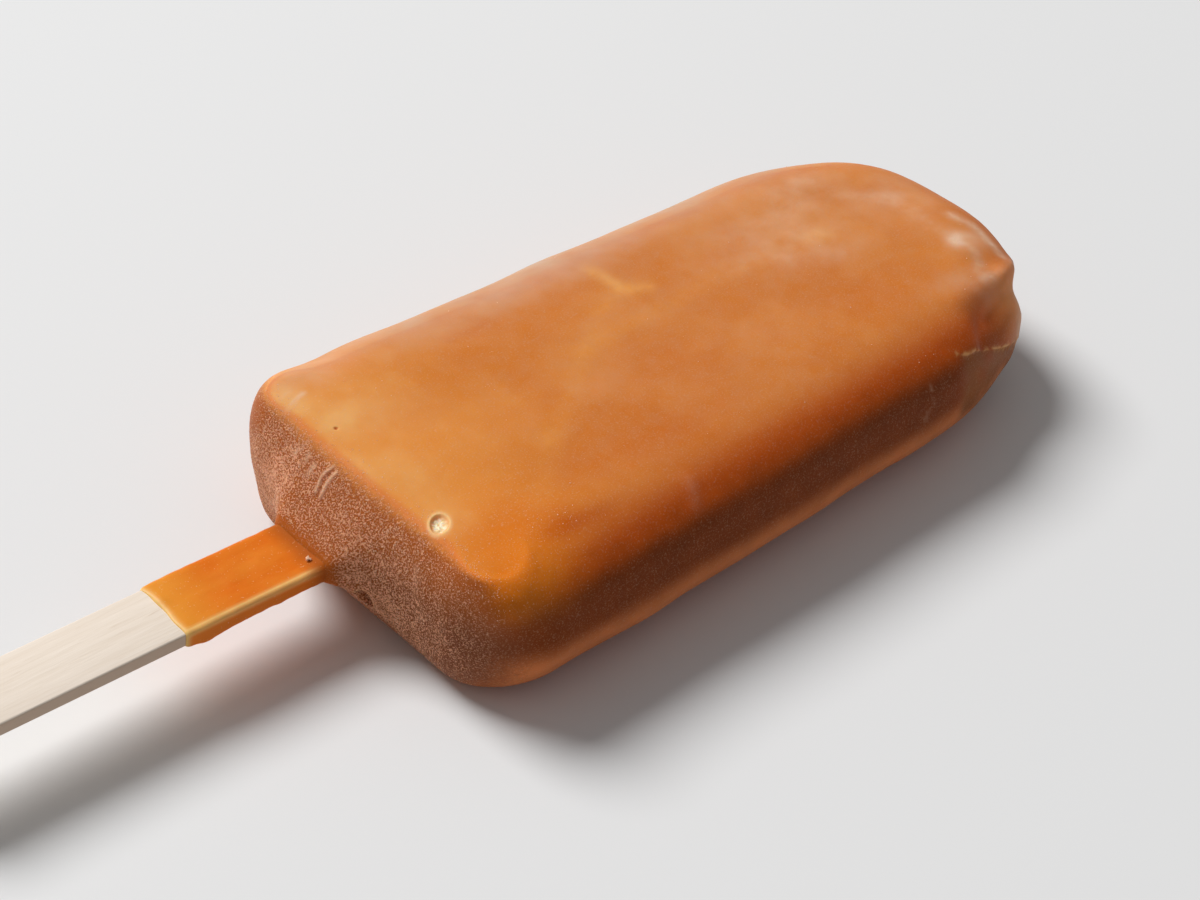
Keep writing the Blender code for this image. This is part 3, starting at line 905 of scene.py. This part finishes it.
def make_frost(material):
    """Loose grains of frost on the stick end, thinning out over its ridges."""
    rng = np.random.default_rng(FROST_SEED)
    count = FROST_TRIES
    end = np.column_stack([np.full(count, -1.0), rng.uniform(-1, 1, count), rng.uniform(-1, 1, count)])
    near = np.column_stack([
        -1.0 + 0.25 * rng.random(count // 2) ** 2, rng.uniform(-1, 1, count // 2), np.ones(count // 2),
    ])
    side = np.column_stack([
        -1.0 + 0.2 * rng.random(count // 4), np.sign(rng.uniform(-1, 1, count // 4)),
        rng.uniform(-1, 1, count // 4),
    ])
    cube = np.vstack([end, near, side])
    base, normals = rounded_bar(cube)
    moved, points, frost, inside, _ = fine_bar(base, normals)
    patchy = 0.5 + 0.9 * noise_at(points, 3.5, 11, 2)
    spill = 0.12 * ease(points[:, 0], 6.5, 1.5) * ease(points[:, 2], 4.0, 8.0)
    chance = np.clip(frost * patchy, 0.0, 1.0) * 0.9 + spill
    kept = (rng.random(len(cube)) < chance) & (inside < 0.05)
    radii = 0.05 + 0.08 * rng.random(kept.sum()) ** 3
    return scatter("frost_grains", moved[kept], radii, rng, material)


def make_specks(bar, material):
    """Specks of ice in small groups on the shown face."""
    tree = BVHTree.FromObject(bar, bpy.context.evaluated_depsgraph_get())
    rng = np.random.default_rng(SPECK_SEED)
    groups = []
    for (x, y), spread, count in SPECK_GROUPS:
        groups.append(rng.normal((x, y), spread, (count, 2)))
    strays = np.column_stack([
        rng.uniform(2.0, BAR_LENGTH - 6.0, STRAY_SPECKS), rng.uniform(-24.0, 24.0, STRAY_SPECKS),
    ])
    flat = np.vstack(groups + [strays])
    above = to_row(np.column_stack([flat, np.full(len(flat), BAR_THICKNESS)]))
    hits = [tree.ray_cast(Vector(point), Vector((0.0, 0.0, -1.0)))[0] for point in above]
    centres = np.array([hit for hit in hits if hit]) / MM - ROW_SHIFT
    radii = 0.05 + 0.11 * rng.random(len(centres)) ** 3
    places, sizes = zip(*CRYSTALS)
    centres, radii = np.vstack([centres, places]), np.concatenate([radii, sizes])
    return scatter("ice_specks", centres, radii, rng, material)


def stick_matrix():
    turn = Matrix.Rotation(-STICK_YAW, 4, "Z") @ Matrix.Rotation(STICK_PITCH, 4, "Y")
    return Matrix.Translation((0.0, STICK_OFFSET, 0.0)) @ turn


def from_stick(points):
    """Points given along the stick, in the bar's frame."""
    matrix = np.array(stick_matrix())
    return points @ matrix[:3, :3].T + matrix[:3, 3]


def sleeve_points(cube):
    """The coat on the stick: a thin skin with a round mouth and a flared root."""
    a, b, c = cube.T
    share = (0.5 + 0.5 * a) ** 1.5
    mouth = -SLEEVE_REACH + 0.16 * np.sin(2.3 * b + 0.7) + 0.05 * np.sin(8.0 * b + 2.0)
    x = mouth + (SLEEVE_ROOT - mouth) * share
    rim = np.maximum(np.abs(b), np.abs(c))
    across, up = b / np.maximum(rim, 1e-9), c / np.maximum(rim, 1e-9)
    square = (np.abs(across) ** SLEEVE_SQUARE + np.abs(up) ** SLEEVE_SQUARE) ** (1.0 / SLEEVE_SQUARE)
    inward = np.clip((x - mouth) / MOUTH_ROUND, 0.0, 1.0)
    round_mouth = np.sqrt(np.clip(1.0 - (1.0 - inward) ** 2, 0.0, 1.0))
    swell = noise_at(np.column_stack([x, 5.0 * across, 3.0 * up]), 3.5, 21, 2)
    coat = SLEEVE_COAT * (1.0 + 0.30 * swell) * (0.10 + 0.90 * round_mouth)
    near_side = ease(-across, 0.75, 0.95)
    for place, reach, height in SLEEVE_LUMPS:
        far = np.linalg.norm(np.column_stack([x, 5.5 * across, 1.6 * up]) - place, axis=1)
        coat += height * bell(far / reach) * round_mouth
    coat += 0.05 * near_side * round_mouth * noise_at(np.column_stack([x, 0.0 * x, 2.0 * up]), 2.0, 23, 2)
    flare = np.where(np.abs(across) > 0.99, SIDE_FLARE, TOP_FLARE)
    coat += flare * np.exp(np.minimum((x - ROOT_EDGE) / ROOT_FALL, 1.0))
    y = (0.5 * STICK_WIDTH + coat) * across / square * rim
    z = (0.5 * STICK_THICKNESS + coat) * up / square * rim
    return from_stick(np.column_stack([x, y, z])), across, up, x - mouth


def make_sleeve(material):
    shape = cube_grid(SLEEVE_STEPS)
    refine(shape, np.ones(len(shape.verts), bool))
    points, across, up, along = sleeve_points(vertex_array(shape))
    piece = new_piece("coat_on_stick", shape, material, "coated_bar")
    mesh = piece.data
    move_vertices(mesh, points)
    # Painted highlight along the sleeve's near top edge, where the coat is thin.
    paint(mesh, "ridge", bell((across + 0.95) / 0.085) * ease(up, 0.2, 0.8))
    paint(mesh, "mouth", bell(along / 0.55))
    paint(mesh, "yellow", ease(along, 10.0, 0.0))
    paint(mesh, "root", ease(along, SLEEVE_REACH - 8.6, SLEEVE_REACH - 5.0))
    paint(mesh, "side", ease(up, 0.75, 0.25) * ease(np.abs(across), 0.9, 0.98))
    return piece


def make_stick(material):
    shape = bmesh.new()
    bmesh.ops.create_cube(shape, size=1.0)
    bmesh.ops.scale(shape, vec=(STICK_LENGTH, STICK_WIDTH, STICK_THICKNESS), verts=shape.verts)
    bmesh.ops.translate(shape, vec=(0.5 * STICK_LENGTH - STICK_SHOWN, 0.0, 0.0), verts=shape.verts)
    upright = [edge for edge in shape.edges if edge.verts[0].co.xy == edge.verts[1].co.xy]
    bmesh.ops.bevel(
        shape, geom=upright, offset=0.495 * STICK_WIDTH, segments=16,
        profile=0.5, affect="EDGES", material=-1,
    )
    level = [
        edge for edge in shape.edges
        if edge.verts[0].co.z == edge.verts[1].co.z and edge.calc_face_angle() > math.radians(45.0)
    ]
    bmesh.ops.bevel(
        shape, geom=level, offset=0.32, segments=4, profile=0.5, affect="EDGES", material=-1,
    )
    bmesh.ops.transform(shape, matrix=stick_matrix(), verts=shape.verts)
    bmesh.ops.translate(shape, vec=ROW_SHIFT, verts=shape.verts)
    bmesh.ops.scale(shape, vec=(MM, MM, MM), verts=shape.verts)
    piece = new_piece("wooden_stick", shape, material, "stick")
    mesh = piece.data
    mesh.set_sharp_from_angle(angle=math.radians(50.0))
    paint(mesh, "cut", [ease(abs(vert.normal.z), 0.75, 0.35) for vert in mesh.vertices])
    return piece


class Finish:
    """A Principled material and short ways to add its nodes."""

    def __init__(self, name, roughness, specular=0.5):
        self.material = bpy.data.materials.new(name)
        self.material.use_nodes = True
        self.tree = self.material.node_tree
        self.shader = self.tree.nodes["Principled BSDF"]
        self.shader.inputs["Roughness"].default_value = roughness
        self.shader.inputs["Specular IOR Level"].default_value = specular
        self.place = self.tree.nodes.new("ShaderNodeTexCoord").outputs["Object"]

    def waxy(self, weight, scale):
        """Lets light in by a scale in millimetres."""
        self.shader.inputs["Subsurface Weight"].default_value = weight
        self.shader.inputs["Subsurface Scale"].default_value = scale * MM
        self.shader.inputs["Subsurface Radius"].default_value = SCATTERING

    def join(self, value, socket):
        """Links a socket, or sets it to a number or a colour."""
        if isinstance(value, bpy.types.NodeSocket):
            self.tree.links.new(value, socket)
        else:
            socket.default_value = (*value, 1.0) if isinstance(value, tuple) else value

    def painted(self, name, output="Fac"):
        node = self.tree.nodes.new("ShaderNodeAttribute")
        node.attribute_name = name
        return node.outputs[output]

    def stretched(self, scale):
        node = self.tree.nodes.new("ShaderNodeMapping")
        self.join(self.place, node.inputs["Vector"])
        node.inputs["Scale"].default_value = scale
        return node.outputs["Vector"]

    def lumps(self, size, detail=3.0, place=None, rough=0.55):
        """Noise with lumps of a size in millimetres."""
        node = self.tree.nodes.new("ShaderNodeTexNoise")
        self.join(place or self.place, node.inputs["Vector"])
        node.inputs["Scale"].default_value = 1.0 / (size * MM)
        node.inputs["Detail"].default_value = detail
        node.inputs["Roughness"].default_value = rough
        return node.outputs["Fac"]

    def ranged(self, value, low, high, to_low=0.0, to_high=1.0):
        node = self.tree.nodes.new("ShaderNodeMapRange")
        self.join(value, node.inputs["Value"])
        for socket, number in zip(("From Min", "From Max", "To Min", "To Max"), (low, high, to_low, to_high)):
            node.inputs[socket].default_value = number
        return node.outputs["Result"]

    def math(self, operation, first, second):
        node = self.tree.nodes.new("ShaderNodeMath")
        node.operation = operation
        self.join(first, node.inputs[0])
        self.join(second, node.inputs[1])
        return node.outputs["Value"]

    def times(self, first, second):
        return self.math("MULTIPLY", first, second)

    def plus(self, first, second):
        return self.math("ADD", first, second)

    def mixed(self, share, first, second):
        node = self.tree.nodes.new("ShaderNodeMix")
        node.data_type = "RGBA"
        self.join(share, node.inputs["Factor"])
        self.join(first, node.inputs[6])
        self.join(second, node.inputs[7])
        return node.outputs[2]

    def bumped(self, height, depth, under=None):
        node = self.tree.nodes.new("ShaderNodeBump")
        node.inputs["Distance"].default_value = depth * MM
        self.join(height, node.inputs["Height"])
        if under:
            self.join(under, node.inputs["Normal"])
        return node.outputs["Normal"]

    def wear(self, colour, roughness=None, normal=None):
        self.join(colour, self.shader.inputs["Base Color"])
        if roughness is not None:
            self.join(roughness, self.shader.inputs["Roughness"])
        if normal is not None:
            self.join(normal, self.shader.inputs["Normal"])
        return self.material


def coat_finish():
    finish = Finish("frozen caramel coat", 0.46, 0.05)
    finish.waxy(0.32, 2.0)
    cloudy = finish.ranged(finish.lumps(2.2, 4.0, rough=0.65), 0.35, 0.75, 0.0, 0.14)
    cloudy = finish.times(cloudy, finish.painted("cloud"))
    colour = finish.mixed(cloudy, finish.painted("tint", "Color"), HAZE)

    ragged = finish.times(finish.plus(finish.lumps(0.45, 4.0, rough=0.7), -0.5), 0.9)
    end = finish.ranged(finish.plus(finish.painted("end"), ragged), 0.15, 0.85)
    end = finish.times(end, finish.ranged(finish.painted("end"), 0.0, 0.15))
    colour = finish.mixed(end, colour, finish.painted("end_tint", "Color"))

    patch = finish.ranged(finish.lumps(2.8, 3.0), 0.30, 0.70, 0.45, 1.25)
    frost = finish.times(finish.painted("frost"), patch)
    level = finish.plus(finish.lumps(FROST_GRAIN, 2.0, rough=0.6), finish.times(frost, 0.22))
    white = finish.times(finish.ranged(level, 0.52, 0.66), finish.ranged(frost, 0.0, 0.15))
    veil = finish.plus(finish.times(white, 0.80), finish.times(frost, 0.10))
    colour = finish.mixed(veil, colour, FROST_WHITE)
    grainy = finish.ranged(finish.lumps(FROST_GRAIN, 2.0, rough=0.7), 0.53, 0.72, 0.0, 0.32)
    colour = finish.mixed(grainy, colour, HAZE)
    dust = finish.times(finish.painted("dust"), 0.30)
    dust = finish.times(finish.ranged(finish.lumps(0.24, 1.0), 0.66, 0.74), dust)
    colour = finish.mixed(dust, colour, FROST_WHITE)

    pitted = finish.ranged(finish.lumps(0.45, 3.0), 0.42, 0.60)
    cream = finish.mixed(pitted, BUBBLE_TAN, BUBBLE_CREAM)
    colour = finish.mixed(finish.painted("bubble"), colour, cream)
    roughness = finish.plus(0.44, finish.times(finish.painted("frost"), 0.25))
    normal = finish.bumped(finish.lumps(0.5, 4.0, rough=0.65), 0.04)
    normal = finish.bumped(finish.lumps(3.0, 3.0), 0.10, normal)
    normal = finish.bumped(white, 0.10, normal)
    return finish.wear(colour, roughness, normal)


def sleeve_finish():
    finish = Finish("glossy caramel on the stick", 0.36, 0.13)
    finish.waxy(0.20, 0.8)
    drawn = finish.lumps(3.0, 3.0, finish.stretched((0.35, 1.0, 1.0)))
    colour = finish.mixed(finish.ranged(drawn, 0.35, 0.7), SLEEVE_DEEP, SLEEVE_PALE)
    # Of these shares, the ridge is a painted highlight on the thin near top edge.
    for name, share, other in (
        ("yellow", 0.75, SLEEVE_YELLOW), ("side", 0.85, SLEEVE_SIDE), ("ridge", 0.90, SLEEVE_RIDGE_HIGHLIGHT),
        ("mouth", 0.90, SLEEVE_MOUTH), ("root", 1.0, COLLAR_ORANGE),
    ):
        colour = finish.mixed(finish.times(finish.painted(name), share), colour, other)
    dust = finish.ranged(finish.lumps(0.28, 1.0), 0.68, 0.76, 0.0, 0.35)
    colour = finish.mixed(dust, colour, SLEEVE_DUST)
    return finish.wear(colour, normal=finish.bumped(drawn, 0.12))


def frost_finish():
    finish = Finish("frost", 0.55)
    return finish.wear(finish.mixed(finish.lumps(1.2, 1.0), GRAIN_DIM, GRAIN_BRIGHT))


def wood_finish():
    finish = Finish("pale birch", 0.62)
    grain = finish.lumps(0.9, 5.0, finish.stretched((0.05, 1.0, 1.0)), 0.65)
    pores = finish.lumps(0.30, 3.0, finish.stretched((0.07, 1.0, 1.0)))
    colour = finish.mixed(finish.ranged(grain, 0.30, 0.70), WOOD_DARK, WOOD_PALE)
    colour = finish.mixed(finish.ranged(pores, 0.62, 0.80, 0.0, 0.45), colour, WOOD_PORE)
    colour = finish.mixed(finish.painted("cut"), colour, WOOD_CUT)
    return finish.wear(colour, normal=finish.bumped(grain, 0.05, finish.bumped(pores, 0.03)))


def floor_finish():
    finish = Finish("pale floor", 0.85)
    return finish.wear(finish.mixed(finish.lumps(300.0, 2.0), FLOOR_DARK, FLOOR_PALE))


def make_floor():
    shape = bmesh.new()
    bmesh.ops.create_grid(shape, x_segments=4, y_segments=4, size=FLOOR_HALF)
    floor = new_object("floor", mesh_from("floor", shape), floor_finish())
    floor.location = (0.0, 0.0, -FLOOR_GAP)


def make_lights():
    light = bpy.data.lights.new("key", "AREA")
    light.shape = "DISK"
    light.size = KEY_SIZE
    light.energy = KEY_POWER
    lamp = bpy.data.objects.new("key", light)
    lamp.location = KEY_PLACE
    lamp.rotation_euler = (-lamp.location).to_track_quat("-Z", "Y").to_euler()
    bpy.context.scene.collection.objects.link(lamp)
    world = bpy.data.worlds.new("studio")
    world.use_nodes = True
    world.node_tree.nodes["Background"].inputs["Color"].default_value = (1.0, 1.0, 1.0, 1.0)
    world.node_tree.nodes["Background"].inputs["Strength"].default_value = WORLD_LIGHT
    bpy.context.scene.world = world


def make_camera():
    azimuth, elevation = math.radians(CAMERA_AZIMUTH), math.radians(CAMERA_ELEVATION)
    level = math.cos(elevation)
    back = Vector((math.sin(azimuth) * level, -math.cos(azimuth) * level, math.sin(elevation)))
    data = bpy.data.cameras.new("photo view")
    data.sensor_width = SENSOR_WIDTH
    data.lens = CAMERA_LENS
    data.clip_start, data.clip_end = 0.01, 20.0
    camera = bpy.data.objects.new("photo view", data)
    target = Vector(to_row(CAMERA_TARGET))
    turn = (-back).to_track_quat("-Z", "Y").to_matrix().to_4x4()
    roll = Matrix.Rotation(math.radians(CAMERA_ROLL), 4, "Z")
    camera.matrix_world = Matrix.Translation(target + back * CAMERA_DISTANCE * MM) @ turn @ roll
    bpy.context.scene.collection.objects.link(camera)
    bpy.context.scene.camera = camera


def main():
    bpy.context.scene.view_settings.view_transform = "Standard"
    make_camera()
    make_lights()
    make_floor()
    bar = make_bar(coat_finish())
    make_sleeve(sleeve_finish())
    make_stick(wood_finish())
    frost = frost_finish()
    make_frost(frost)
    make_specks(bar, frost)


main()
